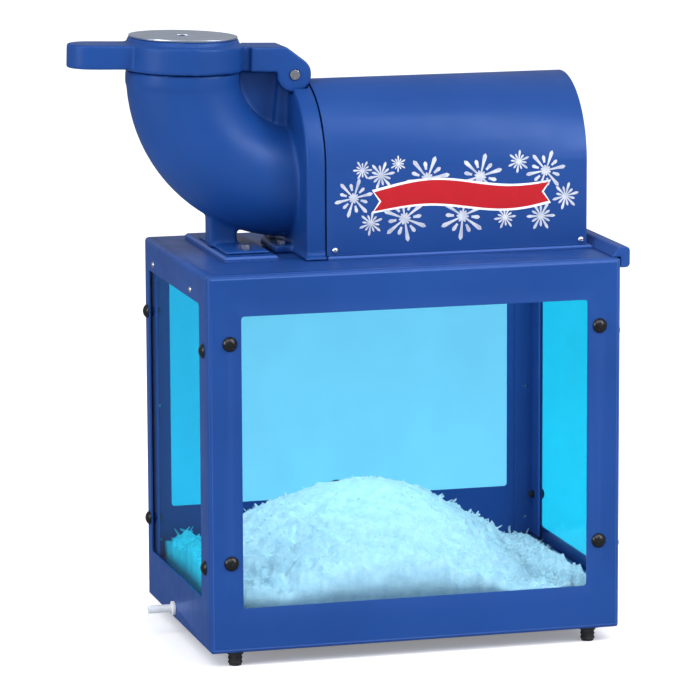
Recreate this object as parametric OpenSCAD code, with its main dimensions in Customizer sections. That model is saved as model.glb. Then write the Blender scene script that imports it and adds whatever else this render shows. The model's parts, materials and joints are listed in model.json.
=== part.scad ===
// Countertop ice shaver with a glazed snow cabinet, a hinged ice pusher and a motor-driven cutter.
// Millimetres, +Z up, the glazed front faces -Y. The origin is on the ground, under the middle of
// the machine's own bounding box. Inside the modules, X runs from the cabinet's left side, Y from
// its front and Z from its underside; placed() then moves everything to the origin.

/* [Cabinet] */
// Width of the cabinet
cab_w = 508; // [490:1:530]
// Depth of the cabinet
cab_d = 330; // [320:1:345]
// Height of the cabinet without its feet
cab_h = 452; // [440:1:470]
// Thickness of the cabinet's sheet metal
sheet = 2; // [1.6:0.2:2.4]
// Outer radius of the cabinet's bends
bend_r = 7; // [6:0.5:9]
// Height of the rubber feet
foot_h = 18; // [14:1:24]
// Thickness of the clear window panels
pane_t = 4; // [3:0.5:4]

/* [Head] */
// Depth of the plane through the hopper, the cutter and the motor
mid_y = 182; // [178:1:186]
// Distance of the lid's hinge pin from the cabinet's left side
hinge_x = 147; // [145:0.5:149]
// Height of the hinge pin above the deck
hinge_rise = 214; // [212:1:218]
// Radius of the curved hopper's centre line, around the hinge pin
throat_bend = 131; // [129:1:132]
// Inner radius of the hopper tube
throat_r = 60; // [58:1:61]
// Outer radius of the hopper tube
tube_r = 67; // [67:1:69]
// How far the curved pusher reaches into the hopper, in degrees
pusher_reach = 58; // [45:1:62]

/* [Motor hood] */
// Radius of the arched hood
hood_r = 100; // [98:1:104]
// Height of the arch's centre above the deck
hood_spring = 105; // [102:1:108]
// Left end of the hood
hood_x0 = 167; // [167:0.5:169]
// Right end of the hood
hood_x1 = 491; // [480:1:495]

/* [Drive] */
// Radius of the cutter disc
cutter_r = 64; // [62:0.5:65]
// Radius of the drive shaft
shaft_r = 8; // [7:0.5:9]
// Radius of the motor's shell
motor_r = 66; // [60:1:68]
// Number of blades on the cutter disc
blade_count = 3; // [2:1:4]

/* [Hidden] */
$fn = 64;

// Colours
paint_blue = [0.16, 0.30, 0.66];
clear_cyan = [0.35, 0.80, 0.95, 0.5];
ice_white = [0.80, 0.93, 0.98];
black_rubber = [0.10, 0.10, 0.11];
bare_steel = [0.75, 0.77, 0.80];
pale_plastic = [0.78, 0.79, 0.80];

gap = 0.2;                       // joint between neighbouring sheets
seam = 12;                       // where one sheet hands over to the next, from an outer face
far_x = cab_w - seam - gap;      // right end of the middle sheets
deck = cab_h;                    // top of the deck

// Windows
front_win = [41, 466, 54, 403];  // left, right, bottom, top
side_win = [41, 306, 61, 414];   // front, rear, bottom, top
rear_win = [31, 468, 111, 405];  // left, right, bottom, top
win_corner = 4;
pane_gap = 0.1;
pane_in = sheet + pane_gap;      // outer face of every pane
pane_out = pane_in + pane_t;     // inner face of every pane
pane_low = 47;
pane_high = 440;
post_t = 2;
post_in = pane_out + 0.3;        // outer face of the corner posts
post_out = post_in + post_t;

// Fasteners
dome_r = 9.25;
dome_h = 5.5;
dome_shank = 2.5;
front_dome_x = 27;
front_dome_z = [109, 371];
side_dome_z = [101, 361];
side_dome_y = [22, cab_d - 14];
rail_screw_y = [84, 280];
bolt_hole_r = 3.2;
screw_hole_r = 2.15;
rail_screw_z = 424;

// Inside of the cabinet
tray_low = 8.5;
tray_top = 45.8;
tray_t = 1.5;
rack_low = 46;
rack_t = 2;
drain_y = 184;
drain_z = 16;
drain_len = 33;
drain_r = 4.9;
foot_x = [35, 474];
foot_y = [20, cab_d - 20];

// Head
hinge_z = deck + hinge_rise;
mouth_x = hinge_x - throat_bend;
axle_z = hinge_z - throat_bend;
flange_x0 = hinge_x - 4;
flange_x1 = hood_x0 - gap;
throat_x1 = hinge_x + 2.5;         // where the throat widens into the cutter's pocket
pocket_r = cutter_r + 2;
mouth_top = hinge_z + 3;
pin_r = 6;
ear_r = 21;
ear_out = 30;                    // half the width over the lid's ears
arm_half = 21;                   // half the width of the arm between the lid and its ears
ear_x = hinge_x - 54;
ear_in = 11.5;                   // half the slot between its ears
lug_half = 11;
lid_low = mouth_top + 0.3;
lid_high = hinge_z + 35;
lid_r = 72;
mouth_tilt = 1.8;                 // the mouth and the lid lean down towards the hinge
boss_r = 66;
boss_top = lid_high + 7;
handle_low = 6;                   // the handle's underside, over the hinge pin's axis
handle_reach = 271;               // level distance from the hinge pin's axis to the handle's end
handle_tip = hinge_x - (handle_reach + handle_low * sin(mouth_tilt)) / cos(mouth_tilt);
disc_t = 2.5;

// Motor and cutter along the axle
cutter_x0 = hinge_x + 5;
cutter_t = 6;
chute_x1 = hood_x0 + 53;
bell_x0 = hood_x0 + 73;
shell_x0 = bell_x0 + 22;
shell_x1 = shell_x0 + 150;
bell_x1 = shell_x1 + 25;
shaft_x1 = bell_x1 + 22;
fan_x = bell_x1 + 4;
plinth_h = 4.5;
pad_h = 7;                       // the pad under the hopper's leg
hood_low = deck + plinth_h + gap;
arch_z = deck + hood_spring;

// Lip, rear door and hood fittings
lip_x = cab_w + 12;
lip_top = deck + 12;
lip_low = deck - 13;
door_hinge_y = cab_d + 6;
door_hinge_z = 426;
door_t = 5;
knob_reach = 28;
hood_back = mid_y + hood_r;
switch_x = 432;
switch_z = deck + 62;
gland_x = 466;
gland_z = deck + 26;

// The machine's bounding box, which the origin is centred under
home_x = (hinge_x - handle_reach + lip_x) / 2;
home_y = (cab_d + knob_reach - dome_h) / 2;

// ---------------------------------------------------------------- helpers

module placed() {
    translate([-home_x, -home_y, foot_h]) children();
}

module span(low, high) {
    translate(low) cube(high - low);
}

module span_2d(x0, x1, y0, y1) {
    translate([x0, y0]) square([x1 - x0, y1 - y0]);
}

// Rectangle with round corners, from [x0, x1] and [y0, y1]
module soft_rect(x0, x1, y0, y1, r) {
    translate([x0 + r, y0]) square([x1 - x0 - 2 * r, y1 - y0]);
    translate([x0, y0 + r]) square([x1 - x0, y1 - y0 - 2 * r]);
    for (x = [x0 + r, x1 - r], y = [y0 + r, y1 - r]) translate([x, y]) circle(r);
}

// A shape drawn in X and Z, from y0 to y1
module along_y(y0, y1) {
    translate([0, y1, 0]) rotate([90, 0, 0]) linear_extrude(y1 - y0) children();
}

// A shape drawn in Y and Z, from x0 to x1
module along_x(x0, x1) {
    translate([x0, 0, 0]) rotate([90, 0, 90]) linear_extrude(x1 - x0) children();
}

// Round bar or bore along X, at [y, z]
module rod_x(x0, x1, y, z, r) {
    translate([x0, y, z]) rotate([0, 90, 0]) cylinder(r = r, h = x1 - x0);
}

// Round bar or bore along Y, at [x, z]
module rod_y(y0, y1, x, z, r) {
    translate([x, y1, z]) rotate([90, 0, 0]) cylinder(r = r, h = y1 - y0);
}

module rod_z(z0, z1, x, y, r) {
    translate([x, y, z0]) cylinder(r = r, h = z1 - z0);
}

// Its children once on the left, and once mirrored to the right
module both_sides() {
    children();
    translate([cab_w, 0, 0]) mirror([1, 0, 0]) children();
}

// Plate with its upper edges bevelled on all four sides
module bevel_plate(x0, x1, y0, y1, z0, h, bevel) {
    intersection() {
        along_y(y0, y1)
            polygon([[x0, z0], [x1, z0], [x1, z0 + h - bevel], [x1 - bevel, z0 + h],
                     [x0 + bevel, z0 + h], [x0, z0 + h - bevel]]);
        along_x(x0, x1)
            polygon([[y0, z0], [y1, z0], [y1, z0 + h - bevel], [y1 - bevel, z0 + h],
                     [y0 + bevel, z0 + h], [y0, z0 + h - bevel]]);
    }
}

// Low round-headed button, its flat side on z = 0
module button_head(r, h) {
    ball = (r * r + h * h) / (2 * h);
    intersection() {
        translate([0, 0, h - ball]) sphere(ball);
        cylinder(r = r + 1, h = h + 1);
    }
}

module hex_prism(across, h) {
    cylinder(d = across / cos(30), h = h, $fn = 6);
}

// Section of the curved hopper around the hinge pin, between two angles
module throat_arc(from, to) {
    translate([hinge_x, mid_y, hinge_z]) rotate([90, 0, 0]) rotate([0, 0, from])
        rotate_extrude(angle = to - from, $fn = 96) translate([throat_bend, 0]) children();
}

// Turns its children around the hinge pin; 0 is to the right, 180 at the mouth
module at_throat(angle) {
    translate([hinge_x, mid_y, hinge_z]) rotate([0, -angle, 0]) translate([throat_bend, 0, 0])
        children();
}

// Leans its children around the hinge pin, as the mouth and the closed lid lean
module leaned() {
    translate([hinge_x, mid_y, hinge_z]) rotate([0, mouth_tilt, 0])
        translate([-hinge_x, -mid_y, -hinge_z]) children();
}

// ---------------------------------------------------------------- cabinet

// The cabinet's outer form, or the same form drawn in by the inset
module cab_form(inset) {
    r = bend_r - inset;
    intersection() {
        linear_extrude(cab_h) soft_rect(inset, cab_w - inset, inset, cab_d - inset, r);
        along_y(0, cab_d) soft_rect(inset, cab_w - inset, inset, cab_h - inset, r);
        along_x(0, cab_w) soft_rect(inset, cab_d - inset, inset, cab_h - inset, r);
    }
}

module cab_wall() {
    difference() {
        cab_form(0);
        cab_form(sheet);
    }
}

module front_dome_places() {
    for (x = [front_dome_x, cab_w - front_dome_x], z = front_dome_z)
        translate([x, 0, z]) rotate([90, 0, 0]) children();
}

// Places on both side faces, its children pointing outwards along their own +Z
module side_dome_places() {
    both_sides() for (y = side_dome_y, z = side_dome_z)
        translate([0, y, z]) rotate([0, -90, 0]) children();
}

module rail_screw_places() {
    both_sides() for (y = rail_screw_y)
        translate([0, y, rail_screw_z]) rotate([0, -90, 0]) children();
}

module rear_screw_places() {
    for (x = [16.6, cab_w - 16.6], z = [70, 240, 432])
        translate([x, cab_d, z]) rotate([-90, 0, 0]) children();
}

// Clearance holes through the walls, the panes and the posts
module fastener_holes() {
    front_dome_places() translate([0, 0, -20]) cylinder(r = dome_shank + 0.15, h = 21);
    side_dome_places() translate([0, 0, -20]) cylinder(r = dome_shank + 0.15, h = 21);
    rail_screw_places() translate([0, 0, -20]) cylinder(r = screw_hole_r, h = 21);
    rear_screw_places() translate([0, 0, -5]) cylinder(r = screw_hole_r, h = 6);
}

module front_panel() {
    color(paint_blue) placed() difference() {
        intersection() {
            cab_wall();
            span([-1, -1, -1], [cab_w + 1, seam, cab_h + 1]);
        }
        along_y(-1, sheet + 1)
            soft_rect(front_win[0], front_win[1], front_win[2], front_win[3], win_corner);
        fastener_holes();
    }
}

module side_sheet() {
    difference() {
        intersection() {
            cab_wall();
            span([-1, seam + gap, -1], [seam, cab_d + 1, cab_h + 1]);
        }
        along_x(-1, sheet + 1)
            soft_rect(side_win[0], side_win[1], side_win[2], side_win[3], win_corner);
        fastener_holes();
    }
}

module left_panel() {
    color(paint_blue) placed() difference() {
        side_sheet();
        rod_x(-1, sheet + 1, drain_y, drain_z, drain_r + 1.3);
    }
}

module right_panel() {
    color(paint_blue) placed() translate([cab_w, 0, 0]) mirror([1, 0, 0]) side_sheet();
}

module rear_frame() {
    color(paint_blue) placed() difference() {
        intersection() {
            cab_wall();
            span([seam + gap, cab_d - seam, -1], [far_x, cab_d + 1, cab_h + 1]);
        }
        along_y(cab_d - sheet - 1, cab_d + 1)
            soft_rect(rear_win[0], rear_win[1], rear_win[2], rear_win[3], win_corner);
        fastener_holes();
    }
}

// Where the shaved ice drops through the deck
chute_half = 62;
chute_slot = [hood_x0 + 5, chute_x1 - 3];

module top_deck() {
    color(paint_blue) placed() difference() {
        span([seam + gap, seam + gap, deck - sheet], [far_x, cab_d - seam - gap, deck]);
        span([chute_slot[0] - 1, mid_y - chute_half - 1, deck - sheet - 1],
             [chute_slot[1] + 1, mid_y + chute_half + 1, deck + 1]);
        head_bolt_places() rod_z(-9, 3, 0, 0, bolt_hole_r);
        cradle_bolt_places() rod_z(-12, 3, 0, 0, bolt_hole_r);
    }
}

module floor_plate() {
    color(paint_blue) placed() difference() {
        span([seam + gap, seam + gap, 0], [far_x, cab_d - seam - gap, sheet]);
        foot_places() rod_z(-1, 3, 0, 0, bolt_hole_r);
    }
}

module foot_places() {
    for (x = foot_x, y = foot_y) translate([x, y, 0]) children();
}

module rubber_feet() {
    color(black_rubber) placed() foot_places() difference() {
        union() {
            translate([0, 0, -4]) cylinder(r = 10, h = 4);
            translate([0, 0, -foot_h]) cylinder(r1 = 7.4, r2 = 8.2, h = foot_h - 3);
            for (z = [-foot_h + 3, -foot_h + 8]) translate([0, 0, z]) cylinder(r = 8.6, h = 2);
        }
        translate([0, 0, -8]) cylinder(r = bolt_hole_r, h = 9);
    }
}

module foot_bolts() {
    color(bare_steel) placed() foot_places() {
        translate([0, 0, -7.5]) cylinder(r = 3, h = 7.5 + sheet + gap + 0.5);
        translate([0, 0, sheet + gap]) hex_prism(10, 4);
    }
}

// One L-shaped post: a leg behind the side pane and a leg behind the front or rear wall
module post_left(y0, y1, wall_y0, wall_y1, wall_x1) {
    span([post_in, y0, 50], [post_out, y1, deck - 8]);
    span([post_in, wall_y0, 50], [wall_x1, wall_y1, deck - 8]);
}

module corner_posts() {
    color(paint_blue) placed() both_sides() difference() {
        union() {
            post_left(post_in, 31, post_in, post_out, 36);
            post_left(cab_d - 34, cab_d - sheet - gap, cab_d - sheet - gap - post_t,
                      cab_d - sheet - gap, 30);
        }
        fastener_holes();
    }
}

// Angles under the deck, screwed through the top of each side panel
module deck_rails() {
    color(paint_blue) placed() both_sides() difference() {
        union() {
            span([post_in, 34, 412], [post_out, cab_d - 36, deck - sheet - gap]);
            span([post_in, 34, deck - sheet - gap - post_t], [30, cab_d - 36, deck - sheet - gap]);
        }
        fastener_holes();
    }
}

module melt_tray() {
    color(bare_steel) placed() difference() {
        span([9, 9, tray_low], [cab_w - 9, cab_d - 9, tray_top]);
        span([9 + tray_t, 9 + tray_t, tray_low + tray_t],
             [cab_w - 9 - tray_t, cab_d - 9 - tray_t, tray_top + 1]);
        rod_x(8, 11, drain_y, drain_z, drain_r + 0.3);
    }
}

module ice_rack() {
    holes = [22, 13];
    pitch = [(cab_w - 44) / (holes[0] - 1), (cab_d - 44) / (holes[1] - 1)];
    color(bare_steel) placed() translate([0, 0, rack_low]) linear_extrude(rack_t) difference() {
        soft_rect(9.5, cab_w - 9.5, 9.5, cab_d - 9.5, 3);
        for (i = [0 : holes[0] - 1], j = [0 : holes[1] - 1])
            translate([22 + i * pitch[0], 22 + j * pitch[1]]) circle(4.5, $fn = 24);
    }
}

module front_window() {
    color(clear_cyan) placed() difference() {
        span([14, pane_in, pane_low], [cab_w - 14, pane_out, pane_high]);
        fastener_holes();
    }
}

module side_window() {
    difference() {
        span([pane_in, 14, pane_low], [pane_out, cab_d - 7, pane_high]);
        fastener_holes();
    }
}

module left_window() {
    color(clear_cyan) placed() side_window();
}

module right_window() {
    color(clear_cyan) placed() translate([cab_w, 0, 0]) mirror([1, 0, 0]) side_window();
}

module dome_screw() {
    translate([0, 0, 0.05]) button_head(dome_r, dome_h - 0.05);
    translate([0, 0, -15.5]) cylinder(r = dome_shank, h = 16.5);
}

module window_domes() {
    color(black_rubber) placed() {
        front_dome_places() dome_screw();
        side_dome_places() dome_screw();
    }
}

module dome_nut() {
    translate([0, 0, -post_out - 4.6]) difference() {
        hex_prism(9, 4.5);
        translate([0, 0, -1]) cylinder(r = dome_shank + 0.02, h = 7);
    }
}

module window_nuts() {
    color(bare_steel) placed() {
        front_dome_places() dome_nut();
        side_dome_places() dome_nut();
    }
}

module small_screw(depth) {
    translate([0, 0, 0.05]) difference() {
        button_head(4, 2.4);
        translate([-3, -0.5, 1.4]) cube([6, 1, 2]);
    }
    translate([0, 0, -depth]) cylinder(r = 2, h = depth + 0.3);
}

module panel_screws() {
    color(bare_steel) placed() {
        rail_screw_places() small_screw(post_out + 3);
        rear_screw_places() small_screw(sheet + 1.8);
    }
}

module drain_spigot() {
    color(pale_plastic) placed() difference() {
        union() {
            rod_x(-4, -0.1, drain_y, drain_z, 8.5);
            rod_x(-drain_len, 17, drain_y, drain_z, drain_r);
        }
        rod_x(-drain_len - 1, 18, drain_y, drain_z, 3);
    }
}

module drain_nut() {
    color(pale_plastic) placed() translate([10.7, drain_y, drain_z]) rotate([0, 90, 0])
        difference() {
            rotate([0, 0, 30]) hex_prism(10.8, 5);
            translate([0, 0, -1]) cylinder(r = drain_r + 0.02, h = 7);
        }
}

// The heap of shaved ice on the rack: one plain mound
module shaved_ice() {
    low = rack_low + rack_t + gap;
    color(ice_white) placed() hull() {
        span([17, 17, low], [cab_w - 17, cab_d - 17, low + 9]);
        translate([cab_w * 0.40, mid_y - 6, low + 72]) cylinder(r = 105, h = 8, $fn = 32);
        translate([cab_w * 0.46, mid_y - 6, low + 116]) cylinder(r = 42, h = 8, $fn = 32);
    }
}

// ---------------------------------------------------------------- rear door

knuckles = 5;
knuckle_x0 = 60;
knuckle_len = (cab_w - 2 * knuckle_x0) / knuckles;

// Every second knuckle of the rear hinge, starting with the one given
module door_knuckles(first) {
    for (i = [first : 2 : knuckles - 1])
        rod_x(knuckle_x0 + i * knuckle_len + gap, knuckle_x0 + (i + 1) * knuckle_len - gap,
              door_hinge_y, door_hinge_z, 4);
}

module knuckle_gaps(first) {
    for (i = [first : 2 : knuckles - 1])
        span([knuckle_x0 + i * knuckle_len - gap, door_hinge_y - 5.8, door_hinge_z - 5],
             [knuckle_x0 + (i + 1) * knuckle_len + gap, door_hinge_y + 5, door_hinge_z + 5]);
}

module pin_bore(extra) {
    rod_x(0, cab_w, door_hinge_y, door_hinge_z, 2 + extra);
}

module rear_door() {
    color(clear_cyan) placed()
        along_y(cab_d + 0.3, cab_d + 0.3 + door_t) soft_rect(22, 478, 98, 418, 6);
}

module door_hinge_fixed() {
    color(bare_steel) placed() difference() {
        union() {
            span([knuckle_x0, cab_d + 0.1, door_hinge_z], [cab_w - knuckle_x0, cab_d + 1.6, 445]);
            span([knuckle_x0, cab_d + 0.1, door_hinge_z - 1], [cab_w - knuckle_x0, door_hinge_y, 429]);
            door_knuckles(0);
        }
        knuckle_gaps(1);
        pin_bore(0.02);
    }
}

module door_hinge_leaf() {
    leaf_y = cab_d + 0.3 + door_t + 0.1;
    color(bare_steel) placed() difference() {
        union() {
            span([knuckle_x0, leaf_y, 392], [cab_w - knuckle_x0, leaf_y + 1.5, door_hinge_z]);
            door_knuckles(1);
        }
        knuckle_gaps(0);
        knuckle_gaps(2);
        knuckle_gaps(4);
        pin_bore(0.05);
    }
}

module door_hinge_pin() {
    color(bare_steel) placed()
        rod_x(knuckle_x0 - 2, cab_w - knuckle_x0 + 2, door_hinge_y, door_hinge_z, 2);
}

module door_knob() {
    y0 = cab_d + 0.3 + door_t + 0.1;
    color(black_rubber) placed() translate([cab_w / 2 - 4, y0, 116]) rotate([-90, 0, 0])
        rotate_extrude() polygon([[0, 0], [7, 0], [6, 7], [10.5, 12], [11, 18],
                                  [9, cab_d + knob_reach - y0], [0, cab_d + knob_reach - y0]]);
}

// ---------------------------------------------------------------- deck fittings

// Quarter turn of points around a centre, from one angle to another
function arc_points(x, y, r, from, to) =
    [for (i = [0 : 6]) [x + r * cos(from + (to - from) * i / 6), y + r * sin(from + (to - from) * i / 6)]];

module deck_lip() {
    lip_r = 5;
    color(paint_blue) placed() along_y(4, cab_d - 4) polygon(concat(
        [[cab_w - 10, deck + gap], [cab_w - 3, lip_top - 1], [cab_w - 1, lip_top]],
        arc_points(lip_x - lip_r, lip_top - lip_r, lip_r, 90, 0),
        arc_points(lip_x - lip_r, lip_low + lip_r, lip_r, 0, -90),
        [[cab_w + gap, lip_low], [cab_w + gap, deck + gap]]));
}

module head_bolt_places() {
    for (y = [mid_y - 27, mid_y + 27]) translate([hinge_x - 17, y, deck]) children();
    for (y = [mid_y - 60, mid_y + 60]) translate([78, y, deck]) children();
}

module cradle_bolt_places() {
    for (x = [shell_x0 + 25, shell_x1 - 25], y = [mid_y - 52, mid_y + 52])
        translate([x, y, deck + plinth_h]) children();
}

module head_pad() {
    color(paint_blue) placed() difference() {
        bevel_plate(44, 109, 89, 297, deck + 0.1, pad_h - 0.1, 2.5);
        head_bolt_places() rod_z(-1, 20, 0, 0, bolt_hole_r);
    }
}

module motor_plinth() {
    color(paint_blue) placed() difference() {
        bevel_plate(hood_x0 + gap, hood_x1 + 6, mid_y - hood_r - 6, mid_y + hood_r + 6, deck + 0.1,
                    plinth_h - 0.1, 2);
        span([chute_slot[0] - 1, mid_y - chute_half - 1, deck - 1],
             [chute_slot[1] + 1, mid_y + chute_half + 1, deck + plinth_h + 1]);
        cradle_bolt_places() rod_z(-12, 3, 0, 0, bolt_hole_r);
    }
}

// ---------------------------------------------------------------- head

// Arch of the flange or the hood, drawn in Y and Z
module arch(r, z0) {
    translate([mid_y, arch_z]) circle(r, $fn = 96);
    span_2d(mid_y - r, mid_y + r, z0, arch_z);
}

module head_flange() {
    along_x(flange_x0, flange_x1) arch(hood_r - 1, deck + 0.1);
    bevel_plate(flange_x0 - 4, flange_x1, mid_y - hood_r - 6, mid_y + hood_r + 6, deck + 0.1, 5, 2);
}

// Lug for the hinge pin, standing on two splayed ribs
module hinge_lug() {
    along_y(mid_y - lug_half, mid_y + lug_half) {
        translate([hinge_x, hinge_z]) circle(16);
        polygon([[hinge_x - 15, hinge_z - 4], [hinge_x + 15, hinge_z - 4],
                 [hinge_x + 17, hinge_z - 40], [hinge_x + 5, hinge_z - 40],
                 [hinge_x + 2, hinge_z - 26], [hinge_x - 4, hinge_z - 26],
                 [hinge_x - 9, hinge_z - 66], [hinge_x - 22, hinge_z - 66]]);
    }
}

// Flat web that fills the inside of the bend, up to just under the lid's arm
module bend_web() {
    leaned() along_y(mid_y - 4, mid_y + 4) intersection() {
        translate([hinge_x, hinge_z]) circle(throat_bend - throat_r - 2);
        span_2d(hinge_x - throat_bend, hinge_x + 2, hinge_z - throat_bend, hinge_z + 2.3);
    }
}

module support_leg() {
    span([44.5, mid_y - 13, deck + pad_h + 0.1], [79, mid_y + 13, deck + 60]);
    bevel_plate(50, 104, mid_y - 74, mid_y + 74, deck + pad_h + 0.1, 4, 1.5);
    span([hinge_x - 28, mid_y - 38, deck + 0.1], [hinge_x, mid_y + 38, deck + 10]);
}

module head_casting() {
    color(paint_blue) placed() difference() {
        union() {
            throat_arc(180 - mouth_tilt, 270) circle(tube_r, $fn = 96);
            leaned() rod_z(hinge_z - 14, mouth_top, mouth_x, mid_y, tube_r + 1);
            head_flange();
            hinge_lug();
            bend_web();
            support_leg();
        }
        throat_arc(180 - mouth_tilt, 270) circle(throat_r, $fn = 96);
        leaned() rod_z(hinge_z - 1, mouth_top + 1, mouth_x, mid_y, throat_r + 1);
        rod_x(hinge_x - 1, throat_x1 + 1, mid_y, axle_z, throat_r + 1);
        rod_x(throat_x1, flange_x1 + 1, mid_y, axle_z, pocket_r);
        for (y = [[mid_y - ear_out - 2, mid_y - lug_half], [mid_y + lug_half, mid_y + ear_out + 2]])
            rod_y(y[0], y[1], hinge_x, hinge_z, ear_r + 2);
        rod_y(mid_y - lug_half - 1, mid_y + lug_half + 1, hinge_x, hinge_z, pin_r + 0.02);
        head_bolt_places() rod_z(-2, 30, 0, 0, bolt_hole_r);
    }
}

module head_bolts() {
    color(bare_steel) placed() {
        for (y = [mid_y - 27, mid_y + 27]) translate([hinge_x - 17, y, deck + 10.1]) {
            hex_prism(10, 5);
            translate([0, 0, -18]) cylinder(r = 3, h = 19);
        }
        for (y = [mid_y - 60, mid_y + 60]) translate([78, y, deck + pad_h + 4.2]) {
            hex_prism(10, 5);
            translate([0, 0, -18]) cylinder(r = 3, h = 19);
        }
    }
}

module hinge_pin() {
    color(bare_steel) placed() {
        rod_y(mid_y - ear_out - 2, mid_y + ear_out + 2, hinge_x, hinge_z, pin_r - 0.02);
    }
}

module lid_arm_outline() {
    translate([hinge_x, hinge_z]) circle(ear_r);
    polygon([[hinge_x - 75, lid_low], [hinge_x - 75, hinge_z + 33], [hinge_x - 10, hinge_z + 33],
             [hinge_x + 12.4, hinge_z + 16.9], [hinge_x, hinge_z - 5], [hinge_x - 19, lid_low]]);
}

// Tops of the screw holes in the lid, under the cover disc
module pusher_screw_places() {
    for (a = [0 : 90 : 270]) translate([mouth_x, mid_y, boss_top]) rotate([0, 0, a])
        translate([22, 0, 0]) children();
}

module pusher_lid() {
    color(paint_blue) placed() leaned() difference() {
        union() {
            rod_z(lid_low, lid_high, mouth_x, mid_y, lid_r);
            translate([mouth_x, mid_y, lid_high - 1]) cylinder(r1 = boss_r + 2, r2 = boss_r, h = 8);
            along_y(mid_y - arm_half, mid_y + arm_half) lid_arm_outline();
            along_y(mid_y - ear_out, mid_y + ear_out) intersection() {
                lid_arm_outline();
                span_2d(ear_x, hinge_x + 30, hinge_z - 40, hinge_z + 40);
            }
            translate([0, 0, hinge_z + handle_low]) linear_extrude(29)
                soft_rect(handle_tip, mouth_x, mid_y - 28, mid_y + 28, 27);
        }
        rod_z(lid_low - 1, lid_high - 8, mouth_x, mid_y, throat_r + 3);
        rod_z(lid_low, boss_top + 1, mouth_x, mid_y, 12);
        pusher_screw_places() {
            translate([0, 0, -18]) cylinder(r = 2.5, h = 16);
            translate([0, 0, -5.1]) cylinder(r = 5, h = 6);
        }
        rod_y(mid_y - ear_in, mid_y + ear_in, hinge_x, hinge_z, 30);
        rod_y(mid_y - 40, mid_y + 40, hinge_x, hinge_z, pin_r + 0.03);
    }
}

// Steel cover on the lid, with the hole in its middle
module lid_disc() {
    color(bare_steel) placed() leaned() translate([mouth_x, mid_y, boss_top + 0.1]) difference() {
        cylinder(r = boss_r - 1, h = disc_t);
        translate([0, 0, -1]) cylinder(r = 10, h = disc_t + 2);
    }
}

// Curved rib that carries the pusher plate down the throat
module pusher_arm() {
    color(bare_steel) placed() leaned() difference() {
        union() {
            throat_arc(176, 180 + pusher_reach) translate([-20, -5]) square([40, 10]);
            span([mouth_x - 20, mid_y - 5, hinge_z + 4], [mouth_x + 20, mid_y + 5, lid_high - 11]);
            translate([mouth_x, mid_y, lid_high - 12]) cylinder(r = 30, h = 3.9);
        }
        rod_z(lid_high - 20, lid_high, mouth_x, mid_y, 3);
        pusher_screw_places() translate([0, 0, -22]) cylinder(r = 2.5, h = 14);
    }
}

// Screws that hold the pusher arm under the lid; the cover disc hides their heads
module pusher_screws() {
    color(bare_steel) placed() leaned() pusher_screw_places() {
        translate([0, 0, -5]) cylinder(r = 4.5, h = 4);
        translate([0, 0, -18]) cylinder(r = 2.4, h = 14);
    }
}

// Round plate at the arm's end; it pushes the ice at the cutter
module pusher_plate() {
    color(bare_steel) placed() leaned() at_throat(180 + pusher_reach)
        translate([0, 0, 0.1]) cylinder(r = throat_r - 4, h = 6);
}

// ---------------------------------------------------------------- cutter and motor

module ice_chute() {
    wall = 1.5;
    out = chute_half + 8;
    color(bare_steel) placed() difference() {
        union() {
            span([hood_x0 + 1, mid_y - out, hood_low], [chute_x1, mid_y + out, axle_z + out]);
            span([chute_slot[0], mid_y - chute_half, deck - 24],
                 [chute_slot[1], mid_y + chute_half, hood_low + 1]);
        }
        span([hood_x0, mid_y - out + wall, hood_low + wall],
             [chute_x1 - wall, mid_y + out - wall, axle_z + out - wall]);
        span([chute_slot[0] + wall, mid_y - chute_half + wall, deck - 25],
             [chute_slot[1] - wall, mid_y + chute_half - wall, hood_low + 5]);
        rod_x(chute_x1 - 5, chute_x1 + 1, mid_y, axle_z, shaft_r + 2);
    }
}

module on_cutter(angle) {
    translate([cutter_x0, mid_y, axle_z]) rotate([angle, 0, 0]) children();
}

module blade_screw_places() {
    for (i = [0 : blade_count - 1], r = [28, 48])
        on_cutter(i * 360 / blade_count) translate([0, 12, r]) rotate([0, -90, 0]) children();
}

module cutter_disc() {
    color(bare_steel) placed() difference() {
        union() {
            rod_x(cutter_x0, cutter_x0 + cutter_t, mid_y, axle_z, cutter_r);
            rod_x(cutter_x0 + 1, cutter_x0 + 26, mid_y, axle_z, 18);
        }
        rod_x(cutter_x0 - 1, cutter_x0 + 40, mid_y, axle_z, shaft_r + 0.02);
        for (i = [0 : blade_count - 1]) on_cutter(i * 360 / blade_count)
            span([-1, -5, 21], [cutter_t + 1, 3, 58]);
        blade_screw_places() translate([0, 0, -8]) cylinder(r = 2, h = 10);
    }
}

module cutter_blades() {
    color(bare_steel) placed() difference() {
        for (i = [0 : blade_count - 1]) on_cutter(i * 360 / blade_count)
            along_local_z(20, 59) polygon([[-0.1, 18], [-0.1, 4], [-1.4, -2], [-2.1, -1.5], [-2.1, 18]]);
        blade_screw_places() translate([0, 0, -8]) cylinder(r = 2.05, h = 12);
    }
}

// A shape drawn in X and Y, between two heights
module along_local_z(z0, z1) {
    translate([0, 0, z0]) linear_extrude(z1 - z0) children();
}

module blade_screws() {
    color(bare_steel) placed() blade_screw_places() {
        translate([0, 0, 2.15]) button_head(3.6, 2);
        translate([0, 0, -5]) cylinder(r = 1.95, h = 7.5);
    }
}

module cutter_nut() {
    color(bare_steel) placed() translate([cutter_x0 - 0.1, mid_y, axle_z]) rotate([0, -90, 0])
        difference() {
            union() {
                hex_prism(24, 8);
                translate([0, 0, 7]) cylinder(r1 = 11, r2 = 6, h = 7);
            }
            translate([0, 0, -1]) cylinder(r = shaft_r + 0.02, h = 9);
        }
}

module drive_shaft() {
    color(bare_steel) placed() rod_x(cutter_x0 - 7.5, shaft_x1, mid_y, axle_z, shaft_r);
}

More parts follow.
